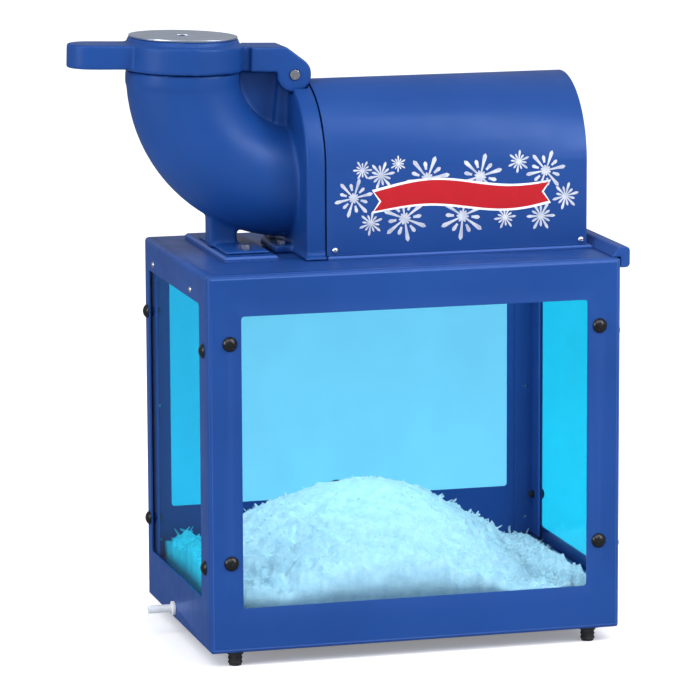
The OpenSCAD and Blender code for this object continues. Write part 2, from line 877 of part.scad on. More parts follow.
module motor_shell() {
    color([0.22, 0.23, 0.25]) placed() difference() {
        rod_x(shell_x0, shell_x1, mid_y, axle_z, motor_r);
        rod_x(shell_x0 - 1, shell_x1 + 1, mid_y, axle_z, motor_r - 3);
    }
}

module end_bell(x0, x1, bearing_x0) {
    difference() {
        rod_x(x0, x1, mid_y, axle_z, motor_r - 4);
        rod_x(x0 - 1, x1 + 1, mid_y, axle_z, shaft_r + 3);
        rod_x(bearing_x0 - 0.1, bearing_x0 + 12.1, mid_y, axle_z, 17.52);
        for (a = [30 : 60 : 330]) translate([x0 - 1, mid_y, axle_z]) rotate([a, 0, 0])
            translate([0, 0, 42]) rotate([0, 90, 0]) cylinder(r = 8, h = x1 - x0 + 2);
    }
}

front_bearing = bell_x0 + 4;
rear_bearing = bell_x1 - 16;

module motor_front_bell() {
    color([0.30, 0.31, 0.33]) placed() end_bell(bell_x0, shell_x0 - 0.2, front_bearing);
}

module motor_rear_bell() {
    color([0.30, 0.31, 0.33]) placed() end_bell(shell_x1 + 0.2, bell_x1, rear_bearing);
}

module motor_bearings() {
    color(bare_steel) placed() for (x = [front_bearing, rear_bearing]) difference() {
        rod_x(x, x + 12, mid_y, axle_z, 17.5);
        rod_x(x - 1, x + 13, mid_y, axle_z, shaft_r + 0.04);
    }
}

module motor_stator() {
    color([0.55, 0.35, 0.20]) placed() difference() {
        rod_x(shell_x0 + 20, shell_x1 - 20, mid_y, axle_z, motor_r - 3.2);
        rod_x(shell_x0 + 19, shell_x1 - 19, mid_y, axle_z, 39);
    }
}

module motor_rotor() {
    color(bare_steel) placed() difference() {
        rod_x(shell_x0 + 25, shell_x1 - 25, mid_y, axle_z, 38);
        rod_x(shell_x0 + 24, shell_x1 - 24, mid_y, axle_z, shaft_r + 0.02);
    }
}

module cooling_fan() {
    color(black_rubber) placed() difference() {
        union() {
            rod_x(fan_x, fan_x + 14, mid_y, axle_z, 16);
            rod_x(fan_x + 11, fan_x + 13, mid_y, axle_z, 54);
            for (a = [0 : 45 : 315]) translate([fan_x, mid_y, axle_z]) rotate([a, 0, 0])
                span([1, -1, 14], [12, 1, 53]);
        }
        rod_x(fan_x - 1, fan_x + 15, mid_y, axle_z, shaft_r + 0.02);
    }
}

module motor_cradle() {
    z0 = deck + plinth_h;
    color([0.22, 0.23, 0.25]) placed() difference() {
        union() {
            span([shell_x0 + 12, mid_y - 64, z0 + 0.1], [shell_x1 - 12, mid_y + 64, z0 + 4]);
            for (x = [shell_x0 + 14, shell_x1 - 20])
                span([x, mid_y - 50, z0 + 1], [x + 6, mid_y + 50, axle_z - 36]);
        }
        rod_x(shell_x0, shell_x1, mid_y, axle_z, motor_r + 0.1);
        cradle_bolt_places() rod_z(-12, 9, 0, 0, bolt_hole_r);
    }
}

module motor_bolts() {
    color(bare_steel) placed() cradle_bolt_places() {
        translate([0, 0, 4.1]) hex_prism(10, 5);
        translate([0, 0, -9]) cylinder(r = 3, h = 14);
    }
}

module start_capacitor() {
    color(black_rubber) placed() {
        rod_x(shell_x0 + 40, shell_x0 + 110, mid_y, axle_z + motor_r + 17.2, 17);
        span([shell_x0 + 50, mid_y - 10, axle_z + motor_r + 0.1],
             [shell_x0 + 100, mid_y + 10, axle_z + motor_r + 4]);
    }
}

// ---------------------------------------------------------------- hood

module motor_hood() {
    color(paint_blue) placed() difference() {
        along_x(hood_x0, hood_x1) arch(hood_r, hood_low);
        along_x(hood_x0 - 1, hood_x1 + 1) arch(hood_r - sheet, hood_low - 1);
        hood_screw_places() translate([0, 0, -6]) cylinder(r = screw_hole_r, h = 9);
        span([switch_x - 14.2, hood_back - 5, switch_z - 10.2],
             [switch_x + 14.2, hood_back + 1, switch_z + 10.2]);
        rod_y(hood_back - 5, hood_back + 1, gland_x, gland_z, 7.2);
    }
}

module hood_screw_places() {
    for (x = [hood_x0 + 10, hood_x1 - 7]) {
        translate([x, mid_y - hood_r, hood_low + 6]) rotate([90, 0, 0]) children();
        translate([x, mid_y + hood_r, hood_low + 6]) rotate([-90, 0, 0]) children();
    }
}

module hood_end_plate() {
    r = hood_r - sheet - gap;
    color(paint_blue) placed() difference() {
        along_x(hood_x1 - 4, hood_x1 - 2) arch(r, hood_low);
        for (z = [axle_z - 40 : 16 : axle_z + 56])
            along_x(hood_x1 - 5, hood_x1) soft_rect(mid_y - 52, mid_y + 52, z, z + 5, 2.4);
    }
}

module hood_brackets() {
    y0 = mid_y - hood_r + sheet + gap;
    color(paint_blue) placed() for (side = [0, 1]) translate([0, side * 2 * mid_y, 0])
        mirror([0, side, 0]) difference() {
            union() {
                span([hood_x0 + 2, y0, hood_low], [hood_x1 - 4.2, y0 + 2, hood_low + 14]);
                span([hood_x0 + 2, y0, hood_low], [hood_x1 - 4.2, y0 + 14, hood_low + 2]);
            }
            hood_screw_places() translate([0, 0, -8]) cylinder(r = screw_hole_r, h = 11);
        }
}

module hood_screws() {
    color(bare_steel) placed() hood_screw_places() small_screw(7);
}

module switch_bezel() {
    color(black_rubber) placed() difference() {
        union() {
            span([switch_x - 17, hood_back + 0.1, switch_z - 13],
                 [switch_x + 17, hood_back + 3, switch_z + 13]);
            span([switch_x - 14, hood_back - 24, switch_z - 10],
                 [switch_x + 14, hood_back + 1, switch_z + 10]);
        }
        span([switch_x - 11.5, hood_back - 14, switch_z - 8.5],
             [switch_x + 11.5, hood_back + 4, switch_z + 8.5]);
        rod_x(switch_x - 13, switch_x + 13, mid_y + hood_r - 6, switch_z, 1.55);
    }
}

// Rocker in its off position; its lower half stands proud
module power_rocker() {
    color([0.65, 0.10, 0.10]) placed() {
        along_x(switch_x - 11, switch_x + 11)
            polygon([[hood_back - 8.5, switch_z - 5], [hood_back - 8.5, switch_z + 5],
                     [hood_back + 0.5, switch_z + 8], [hood_back + 1.6, switch_z + 0.8],
                     [hood_back + 3.5, switch_z - 6.2]]);
        rod_x(switch_x - 12.6, switch_x + 12.6, hood_back - 6, switch_z, 1.5);
    }
}

module cord_gland() {
    color(black_rubber) placed() difference() {
        union() {
            rod_y(hood_back + 0.1, hood_back + 5, gland_x, gland_z, 10);
            rod_y(hood_back - 8, hood_back + 2, gland_x, gland_z, 7);
        }
        rod_y(hood_back - 9, hood_back + 6, gland_x, gland_z, 4.2);
    }
}

// ---------------------------------------------------------------- one line per sub-part

front_panel();
left_panel();
right_panel();
rear_frame();
top_deck();
floor_plate();
corner_posts();
deck_rails();
melt_tray();
ice_rack();
front_window();
left_window();
right_window();
window_domes();
window_nuts();
panel_screws();
rubber_feet();
foot_bolts();
drain_spigot();
drain_nut();
shaved_ice();
rear_door();
door_hinge_fixed();
door_hinge_leaf();
door_hinge_pin();
door_knob();
deck_lip();
head_pad();
motor_plinth();
head_casting();
head_bolts();
hinge_pin();
pusher_lid();
lid_disc();
pusher_arm();
pusher_plate();
pusher_screws();
ice_chute();
cutter_disc();
cutter_blades();
blade_screws();
cutter_nut();
drive_shaft();
motor_shell();
motor_front_bell();
motor_rear_bell();
motor_bearings();
motor_stator();
motor_rotor();
cooling_fan();
motor_cradle();
motor_bolts();
start_capacitor();
motor_hood();
hood_end_plate();
hood_brackets();
hood_screws();
switch_bezel();
power_rocker();
cord_gland();
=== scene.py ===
"""Looks for the countertop ice shaver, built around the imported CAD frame."""

import json
import math

import bmesh
import bpy
import numpy as np
from mathutils import Matrix, Vector, noise


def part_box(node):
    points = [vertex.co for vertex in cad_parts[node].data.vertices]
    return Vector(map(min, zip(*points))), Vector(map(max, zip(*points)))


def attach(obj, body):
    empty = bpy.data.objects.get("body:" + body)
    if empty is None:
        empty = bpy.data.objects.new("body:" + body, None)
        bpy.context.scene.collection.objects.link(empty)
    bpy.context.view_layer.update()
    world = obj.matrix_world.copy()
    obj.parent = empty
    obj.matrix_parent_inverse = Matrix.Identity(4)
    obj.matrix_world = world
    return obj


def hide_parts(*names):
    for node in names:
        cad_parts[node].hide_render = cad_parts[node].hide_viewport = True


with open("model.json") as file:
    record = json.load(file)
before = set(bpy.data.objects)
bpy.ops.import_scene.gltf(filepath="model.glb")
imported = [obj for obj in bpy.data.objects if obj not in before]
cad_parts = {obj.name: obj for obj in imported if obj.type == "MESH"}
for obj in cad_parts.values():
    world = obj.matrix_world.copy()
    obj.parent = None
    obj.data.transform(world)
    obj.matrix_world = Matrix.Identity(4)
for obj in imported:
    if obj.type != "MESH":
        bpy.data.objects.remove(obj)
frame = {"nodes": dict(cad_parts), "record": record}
NODES = frame["nodes"]
BODIES = frame["record"]["behaviour"]["bodies"]
BODY_OF = {n: b for b, members in BODIES.items() for n in members}
SLOT_OF = {s["node"]: s["material_slot"] for s in frame["record"]["subparts"]}
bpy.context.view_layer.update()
MM = 0.001


# ------------------------------------------------------------------ materials

class Shader:
    """A node material around one Principled shader, with short names for what it uses."""

    def __init__(self, name, base, roughness, metallic=0.0, **sockets):
        self.mat = bpy.data.materials.new(name)
        self.mat.use_nodes = True
        self.tree = self.mat.node_tree
        self.main = self.tree.nodes["Principled BSDF"]
        self.out = self.tree.nodes["Material Output"]
        self.set(self.main, "Base Color", (*base, 1))
        self.set(self.main, "Roughness", roughness)
        self.set(self.main, "Metallic", metallic)
        for key, value in sockets.items():
            self.set(self.main, key.replace("_", " "), value)
        self.place = self.node("ShaderNodeTexCoord").outputs["Object"]
        self.normal = None

    def set(self, node, socket, value):
        node.inputs[socket].default_value = value

    def node(self, kind, **settings):
        made = self.tree.nodes.new(kind)
        for key, value in settings.items():
            setattr(made, key, value)
        return made

    def link(self, source, target):
        self.tree.links.new(source, target)

    def stretched(self, scale):
        """Object coordinates, scaled by a different amount along each axis."""
        mapping = self.node("ShaderNodeMapping")
        self.link(self.place, mapping.inputs["Vector"])
        mapping.inputs["Scale"].default_value = scale
        return mapping.outputs["Vector"]

    def noise(self, scale, detail=2.0, rough=0.5, place=None):
        made = self.node("ShaderNodeTexNoise")
        self.link(place or self.place, made.inputs["Vector"])
        self.set(made, "Scale", scale)
        self.set(made, "Detail", detail)
        self.set(made, "Roughness", rough)
        return made.outputs["Fac"]

    def cells(self, scale, place=None):
        made = self.node("ShaderNodeTexVoronoi")
        self.link(place or self.place, made.inputs["Vector"])
        self.set(made, "Scale", scale)
        return made.outputs["Distance"]

    def remap(self, source, low, high, from_low=0.3, from_high=0.7):
        made = self.node("ShaderNodeMapRange")
        self.link(source, made.inputs["Value"])
        self.set(made, "From Min", from_low)
        self.set(made, "From Max", from_high)
        self.set(made, "To Min", low)
        self.set(made, "To Max", high)
        return made.outputs["Result"]

    def mix(self, share, first, second):
        """Two colours, or colour sockets, mixed by the share socket."""
        made = self.node("ShaderNodeMix", data_type="RGBA")
        self.link(share, made.inputs["Factor"])
        for socket, value in ((made.inputs[6], first), (made.inputs[7], second)):
            if isinstance(value, tuple):
                socket.default_value = (*value, 1)
            else:
                self.link(value, socket)
        return made.outputs[2]

    def bump(self, height, distance, strength=1.0):
        """Stacks one more layer of bump, its distance in metres."""
        made = self.node("ShaderNodeBump")
        self.set(made, "Distance", distance)
        self.set(made, "Strength", strength)
        self.link(height, made.inputs["Height"])
        if self.normal is not None:
            self.link(self.normal, made.inputs["Normal"])
        self.normal = made.outputs["Normal"]
        self.link(self.normal, self.main.inputs["Normal"])

    def colour(self, socket):
        self.link(socket, self.main.inputs["Base Color"])

    def roughness(self, socket):
        self.link(socket, self.main.inputs["Roughness"])

    def edges(self, low=0.515, high=0.60):
        """Share of a surface that is a raised edge."""
        geometry = self.node("ShaderNodeNewGeometry")
        return self.remap(geometry.outputs["Pointiness"], 0, 1, low, high)


def toned(colour, factor, added=0.0):
    """The colour made lighter or darker."""
    return tuple(min(1, c * factor + added) for c in colour)


def powder_coat(name, base, peel, grain):
    """Baked paint: a slow drift of tone, fine flecks, paler edges that are a painted highlight with
    a little edge wear, and an orange-peel skin.
    """
    s = Shader(name, base, 0.42, IOR=1.45)
    s.set(s.main, "Specular Tint", (0.50, 0.64, 1.0, 1))
    drift = s.remap(s.noise(7, 3), 0, 1)
    body = s.mix(drift, toned(base, 0.93), toned(base, 1.10, 0.001))
    flecks = s.remap(s.noise(1500, 2), 0, 0.16, 0.56, 0.8)
    body = s.mix(flecks, body, toned(base, 1.5, 0.01))
    # Paler edges: a painted highlight along bends and rims, with a little edge wear
    s.colour(s.mix(s.edges(0.53, 0.66), body, toned(base, 1.5, 0.035)))
    s.roughness(s.remap(s.noise(30, 4), 0.37, 0.47))
    s.bump(s.noise(420, 3, 0.45), peel)
    s.bump(s.noise(1900, 2, 0.5), grain)
    return s.mat


def metal(name, base, rough, grain_scale, grain, spots=0.0):
    """Bare metal with a brushed or blasted grain, and with cast spots if they are given."""
    s = Shader(name, base, rough, 1.0)
    lines = s.noise(1, 3, 0.6, s.stretched(grain_scale))
    s.colour(s.mix(s.remap(s.noise(60, 3), 0, 1), toned(base, 0.86), base))
    s.roughness(s.remap(lines, rough - 0.07, rough + 0.10))
    s.bump(lines, grain)
    if spots:
        s.bump(s.noise(900, 3), spots)
    return s.mat


def moulded(name, base, rough, texture):
    """Moulded plastic with a faint mottle and a fine skin texture."""
    s = Shader(name, base, rough, IOR=1.46)
    s.colour(s.mix(s.remap(s.noise(45, 3), 0, 1), toned(base, 0.85), toned(base, 1.15, 0.004)))
    s.roughness(s.remap(s.noise(180, 3), rough - 0.06, rough + 0.08))
    s.bump(s.noise(1400, 3), texture)
    return s.mat


# Share of the light that each face of a pane lets in, and how strongly it reflects
PANE_LIGHT = (0.93, 0.975, 0.99)
PANE_GLOSS_FACING, PANE_GLOSS_GRAZING = 0.008, 0.30


def clear_panel(name, tint):
    """Flat clear panel: what is behind it is seen through a tint, and both faces reflect.

    Light that only passes through on its way to the ice is tinted less than the view is.
    """
    s = Shader(name, tint, 0.06)
    each_face = tuple(math.sqrt(c) for c in tint)
    clear = s.node("ShaderNodeBsdfTransparent")
    smear = s.remap(s.noise(9, 4, 0.6), 0, 1)
    seen = s.mix(smear, each_face, toned(each_face, 0.97))
    path = s.node("ShaderNodeLightPath")
    lit = s.node("ShaderNodeMath", operation="MAXIMUM")
    s.link(path.outputs["Is Shadow Ray"], lit.inputs[0])
    s.link(path.outputs["Is Diffuse Ray"], lit.inputs[1])
    s.link(s.mix(lit.outputs[0], seen, PANE_LIGHT), clear.inputs["Color"])
    gloss = s.node("ShaderNodeBsdfGlossy")
    s.set(gloss, "Color", (1, 1, 1, 1))
    s.link(s.remap(s.noise(14, 4, 0.65), 0.02, 0.09), gloss.inputs["Roughness"])
    facing = s.node("ShaderNodeLayerWeight")
    s.set(facing, "Blend", 0.5)
    grazing = s.node("ShaderNodeMath", operation="POWER")
    s.link(facing.outputs["Facing"], grazing.inputs[0])
    grazing.inputs[1].default_value = 5
    blend = s.node("ShaderNodeMixShader")
    s.link(s.remap(grazing.outputs[0], PANE_GLOSS_FACING, PANE_GLOSS_GRAZING, 0, 1),
           blend.inputs["Fac"])
    s.link(clear.outputs["BSDF"], blend.inputs[1])
    s.link(gloss.outputs["BSDF"], blend.inputs[2])
    s.link(blend.outputs["Shader"], s.out.inputs["Surface"])
    s.tree.nodes.remove(s.main)
    return s.mat


def rubber():
    s = Shader("black_rubber", (0.016, 0.016, 0.018), 0.62, IOR=1.45)
    dust = s.remap(s.noise(160, 4), 0, 1)
    s.colour(s.mix(dust, (0.010, 0.010, 0.012), (0.030, 0.030, 0.032)))
    s.roughness(s.remap(s.noise(90, 3), 0.52, 0.74))
    s.bump(s.noise(1700, 3), 0.00006)
    return s.mat


def copper_coils():
    s = Shader("copper_winding", (0.46, 0.20, 0.09), 0.38, 0.6)
    wires = s.noise(1, 2, 0.4, s.stretched((18, 900, 900)))
    s.colour(s.mix(s.remap(wires, 0, 1), (0.20, 0.08, 0.03), (0.58, 0.27, 0.12)))
    s.roughness(s.remap(s.noise(200, 2), 0.3, 0.5))
    s.bump(wires, 0.0004)
    return s.mat


def ice_shader(name, rough, depth_share, depth):
    """Ice that scatters light inside, the red least, so its shade turns blue."""
    s = Shader(name, (0.86, 0.94, 1.0), rough, IOR=1.31, Subsurface_Weight=depth_share,
               Subsurface_Scale=depth)
    s.set(s.main, "Subsurface Radius", (0.6, 0.9, 1.0))
    return s


def shaved_ice_look():
    s = ice_shader("packed_snow", 0.55, 0.35, 0.006)
    clumps = s.noise(70, 5, 0.62)
    body = s.mix(s.remap(clumps, 0, 1), (0.56, 0.66, 0.76), (0.84, 0.89, 0.93))
    grains = s.remap(s.noise(1300, 2), 0, 0.7, 0.5, 0.75)
    s.colour(s.mix(grains, body, (0.92, 0.94, 0.97)))
    s.roughness(s.remap(s.noise(1600, 2), 0.30, 0.75))
    s.bump(s.noise(260, 5, 0.68), 0.0016)
    s.bump(s.cells(900), 0.0006)
    return s.mat


def sliver_look():
    s = ice_shader("ice_slivers", 0.4, 0.7, 0.01)
    clumps = s.remap(s.noise(90, 3), 0, 1)
    s.colour(s.mix(clumps, (0.70, 0.80, 0.88), (0.90, 0.94, 0.97)))
    s.roughness(s.remap(s.noise(900, 2), 0.3, 0.6))
    return s.mat


def decal_film(name, base, shade, rough, metallic=0.0):
    """Printed film: an even colour with a soft mottle towards its shade."""
    s = Shader(name, base, rough, metallic, IOR=1.36)
    s.colour(s.mix(s.remap(s.noise(75, 4), 0, 1), shade, base))
    s.roughness(s.remap(s.noise(150, 2), rough - 0.05, rough + 0.07))
    s.bump(s.noise(700, 2), 0.00003)
    return s.mat


BLUE = (0.0050, 0.0440, 0.2050)
# Depths of bump in metres, and the scale of a brushed grain along each axis
LOOKS = {
    "blue_paint": powder_coat("blue_paint", BLUE, 0.00007, 0.00002),
    "cast_blue": powder_coat("cast_blue", BLUE, 0.00013, 0.00004),
    "black_plastic": moulded("black_plastic", (0.004, 0.004, 0.005), 0.26, 0.00003),
    "black_matte": moulded("black_matte", (0.016, 0.016, 0.018), 0.50, 0.00007),
    "white_plastic": moulded("white_plastic", (0.62, 0.64, 0.68), 0.38, 0.00004),
    "red_plastic": moulded("red_plastic", (0.50, 0.012, 0.014), 0.26, 0.00003),
    "black_rubber": rubber(),
    "zinc_steel": metal("zinc_steel", (0.70, 0.71, 0.74), 0.27, (500, 500, 500), 0.00003),
    # The stainless steel's blue cast is a painted reflection of bluish surroundings
    "stainless": metal("stainless", (0.64, 0.72, 0.86), 0.34, (30, 1400, 1400), 0.00004),
    "blade_steel": metal("blade_steel", (0.72, 0.73, 0.76), 0.20, (1500, 25, 1500), 0.00003),
    "motor_enamel": powder_coat("motor_enamel", (0.045, 0.050, 0.056), 0.0001, 0.00003),
    "motor_casting": metal("motor_casting", (0.48, 0.49, 0.51), 0.48, (300, 300, 300), 0.00008,
                           0.0001),
    "copper_winding": copper_coils(),
    "packed_snow": shaved_ice_look(),
}
# Each pane's tint, its share of red, green and blue that passes both faces
PANES = {
    "front_window": clear_panel("clear_front", (0.50, 0.776, 0.884)),
    "rear_door": clear_panel("clear_rear", (0.25, 0.66, 0.84)),
    "left_window": clear_panel("clear_sides", (0.02, 0.646, 0.852)),
}
PANES["right_window"] = PANES["left_window"]


def dress(piece, look):
    piece.data.materials.clear()
    piece.data.materials.append(look)


def look_of(node):
    return PANES[node] if node in PANES else LOOKS[SLOT_OF[node]]


# ------------------------------------------------------------------ CAD nodes

# Width in mm of the broken edge on each kind of part
EDGE_WIDTH = {
    "blue_paint": 0.5, "cast_blue": 1.2, "black_plastic": 0.5, "black_matte": 0.6,
    "white_plastic": 0.6, "red_plastic": 0.6, "black_rubber": 0.7, "zinc_steel": 0.35,
    "stainless": 0.3, "blade_steel": 0.12, "motor_enamel": 0.8, "motor_casting": 0.9,
    "copper_winding": 2.0,
}
SHARP = math.radians(32)
SAME_POINT = 0.00001
# Panes and the rack keep their sharp edges; the others are replaced by pieces of their own
UNBROKEN = {"ice_rack", "shaved_ice", "head_casting", "pusher_lid", *PANES}


def break_edges(piece, width):
    """Rounds the sharp edges with modifiers, so the CAD mesh itself is left as it is."""
    weld = piece.modifiers.new("weld", "WELD")
    weld.merge_threshold = SAME_POINT
    flat = piece.modifiers.new("flat", "DECIMATE")
    flat.decimate_type = "DISSOLVE"
    flat.angle_limit = math.radians(0.3)
    bevel = piece.modifiers.new("bevel", "BEVEL")
    bevel.width = width * MM
    bevel.segments = 2
    bevel.limit_method = "ANGLE"
    bevel.angle_limit = SHARP
    bevel.use_clamp_overlap = True
    bevel.harden_normals = True


for name, piece in NODES.items():
    dress(piece, look_of(name))
    if name not in UNBROKEN:
        break_edges(piece, EDGE_WIDTH[SLOT_OF[name]])


# ------------------------------------------------------------------ castings

CAST_SMOOTHING = 14


def settle(piece, modifiers):
    """Gives the piece the mesh that these modifiers make, each one a (type, settings)."""
    for kind, settings in modifiers:
        made = piece.modifiers.new(kind.lower(), kind)
        for key, value in settings.items():
            setattr(made, key, value)
    bpy.context.view_layer.update()
    shown = piece.evaluated_get(bpy.context.evaluated_depsgraph_get())
    mesh = bpy.data.meshes.new_from_object(shown)
    piece.modifiers.clear()
    piece.data = mesh


def cast_from(node, name, voxel):
    """A casting with the node's shape, its inner corners filleted and its edges rounded."""
    mesh = bpy.data.meshes.new(name)
    bm = bmesh.new()
    bm.from_mesh(NODES[node].data)
    bmesh.ops.remove_doubles(bm, verts=bm.verts, dist=SAME_POINT)
    bm.to_mesh(mesh)
    bm.free()
    piece = bpy.data.objects.new(name, mesh)
    bpy.context.scene.collection.objects.link(piece)
    settle(piece, [
        ("REMESH", {"mode": "VOXEL", "voxel_size": voxel * MM, "use_smooth_shade": True}),
        ("SMOOTH", {"factor": 0.5, "iterations": CAST_SMOOTHING}),
    ])
    dress(piece, look_of(node))
    for face in piece.data.polygons:
        face.use_smooth = True
    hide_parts(node)
    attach(piece, BODY_OF[node])


cast_from("head_casting", "hopper_casting", voxel=2.0)
cast_from("pusher_lid", "lid_casting", voxel=1.5)


# ------------------------------------------------------------------ shaved ice

ICE_LOW, ICE_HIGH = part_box("shaved_ice")
ICE_DEPTH = ICE_HIGH.y - ICE_LOW.y
ICE_WIDTH = ICE_HIGH.x - ICE_LOW.x
ICE_RISE = ICE_HIGH.z - ICE_LOW.z
FLAKES = 6000
FLAKE_STEPS = 4
rng = np.random.default_rng(7)


def heap_height(x, y):
    """Height of the heap over its floor: a broad mound, a shoulder on its left, and lumps."""
    across = (x - (ICE_LOW.x + 0.46 * ICE_WIDTH)) / ICE_WIDTH
    along = (y - (ICE_LOW.y + 0.53 * ICE_DEPTH)) / ICE_DEPTH
    half_width = 0.55 if across < 0 else 0.46
    half_depth = 0.70 if along < 0 else 0.56
    reach = math.hypot(across / half_width, along / half_depth)
    mound = max(0.0, 1 - reach ** 1.7) ** 0.98
    shoulder = 0.36 - 0.9 * abs(across + 0.40) - 0.2 * abs(along)
    rough = noise.fractal(Vector((x, y, 0.3)) * 22, 0.9, 2.1, 5)
    fine = noise.fractal(Vector((x, y, 1.7)) * 120, 0.8, 2.1, 3)
    clumps = noise.turbulence(Vector((x, y, 0.9)) * 60, 3, False) - 0.55
    lumps = (0.0050 * rough + 0.0060 * clumps) * (0.3 + min(1, reach)) + 0.0012 * fine
    height = 0.004 + max(mound, shoulder) * (ICE_RISE - 0.009) + lumps
    return min(ICE_RISE - 0.002, max(0.003, height))


def heap_up(x, y, height):
    """The heap's upward normal at a place where its height is known."""
    step = 0.004
    slope = Vector((heap_height(x + step, y) - height, heap_height(x, y + step) - height, 0)) / step
    return Vector((-slope.x, -slope.y, 1)).normalized()


def build_heap():
    """The heap's top as a grid, with a skirt and a flat underside."""
    columns, rows = 250, 156
    inset = 0.001
    xs = np.linspace(ICE_LOW.x + inset, ICE_HIGH.x - inset, columns)
    ys = np.linspace(ICE_LOW.y + inset, ICE_HIGH.y - inset, rows)
    bm = bmesh.new()
    top = [[bm.verts.new((x, y, ICE_LOW.z + heap_height(x, y))) for x in xs] for y in ys]
    for near, far in zip(top, top[1:]):
        for i in range(columns - 1):
            bm.faces.new((near[i], near[i + 1], far[i + 1], far[i]))
    rim = top[0] + [r[-1] for r in top[1:]] + top[-1][-2::-1] + [r[0] for r in top[-2:0:-1]]
    base = [bm.verts.new((v.co.x, v.co.y, ICE_LOW.z)) for v in rim]
    for i in range(len(rim)):
        k = (i + 1) % len(rim)
        bm.faces.new((rim[k], rim[i], base[i], base[k]))
    bm.faces.new(base[::-1])
    mesh = bpy.data.meshes.new("shaved_ice_heap")
    bm.to_mesh(mesh)
    bm.free()
    return mesh


def build_flakes():
    """Curled slivers of ice that stand out of the heap, thickest on its lower slopes.

    A sliver is a three-cornered blade along a bent spine, closed at both ends.
    """
    verts, faces = [], []
    margin = 0.006
    while len(faces) < FLAKES * FLAKE_STEPS * 2:
        x = rng.uniform(ICE_LOW.x + margin, ICE_HIGH.x - margin)
        y = rng.uniform(ICE_LOW.y + margin, ICE_HIGH.y - margin)
        h = heap_height(x, y)
        low = 1 - h / ICE_RISE
        if rng.random() > 0.25 + 0.75 * low:
            continue
        up = heap_up(x, y, h)
        turn = rng.uniform(0, 2 * math.pi)
        sideways = Vector((math.cos(turn), math.sin(turn), 0))
        lift = rng.uniform(0.05, 0.55)
        length = rng.uniform(0.003, 0.0085) * (0.5 + 0.8 * low)
        width = rng.uniform(0.0008, 0.0024) * (0.6 + 0.6 * low)
        ahead = (sideways * (1 - lift) + up * lift).normalized()
        across = ahead.cross(up).normalized()
        curl = rng.uniform(-45, 70)
        start = Vector((x, y, ICE_LOW.z + h - 0.0006))
        first = len(verts)
        for k in range(FLAKE_STEPS + 1):
            t = k / FLAKE_STEPS
            spine = start + ahead * (length * t) + up * (curl * length * length * t * t)
            half = across * (width * math.sqrt(math.sin(math.pi * (0.15 + 0.8 * t))))
            thick = up * (0.22 * width * (1 - 0.7 * t))
            for corner in (spine - half, spine + thick, spine + half):
                corner.x = min(max(corner.x, ICE_LOW.x), ICE_HIGH.x)
                corner.y = min(max(corner.y, ICE_LOW.y), ICE_HIGH.y)
                corner.z = min(corner.z, ICE_HIGH.z)
                verts.append(corner)
        for k in range(FLAKE_STEPS):
            a = first + 3 * k
            faces.append((a, a + 1, a + 4, a + 3))
            faces.append((a + 1, a + 2, a + 5, a + 4))
            faces.append((a + 2, a, a + 3, a + 5))
        faces.append((first + 2, first + 1, first))
        tip = first + 3 * FLAKE_STEPS
        faces.append((tip, tip + 1, tip + 2))
    mesh = bpy.data.meshes.new("shaved_ice_flakes")
    mesh.from_pydata([tuple(v) for v in verts], [], faces)
    return mesh


def add_piece(mesh, look, body, smooth):
    """A new object with this mesh and look, attached to its body."""
    piece = bpy.data.objects.new(mesh.name, mesh)
    bpy.context.scene.collection.objects.link(piece)
    dress(piece, look)
    for face in mesh.polygons:
        face.use_smooth = smooth
    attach(piece, body)
    return piece


heap = add_piece(build_heap(), LOOKS["packed_snow"], "machine", smooth=True)
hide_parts("shaved_ice")
flakes = add_piece(build_flakes(), sliver_look(), "machine", smooth=False)
# Clear slivers darken nothing under them
flakes.visible_shadow = False


# ------------------------------------------------------------------ hood decal

HOOD_LOW, HOOD_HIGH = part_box("motor_hood")
HOOD_R = (HOOD_HIGH.y - HOOD_LOW.y) / 2
HOOD_MID = (HOOD_HIGH.y + HOOD_LOW.y) / 2
ARCH_Z = HOOD_HIGH.z - HOOD_R
FILM_SINK = 0.0001
FILM_STEP = 0.0000004
FILM_CYCLE = 300


def on_hood(across, up, lift):
    """Point on the hood's front, from mm along it and mm up its sheet from the lower edge."""
    x = HOOD_LOW.x + across * MM
    z = HOOD_LOW.z + up * MM
    if z <= ARCH_Z:
        return Vector((x, HOOD_LOW.y - lift, z))
    turn = (z - ARCH_Z) / HOOD_R
    reach = HOOD_R + lift
    return Vector((x, HOOD_MID - reach * math.cos(turn), ARCH_Z + reach * math.sin(turn)))


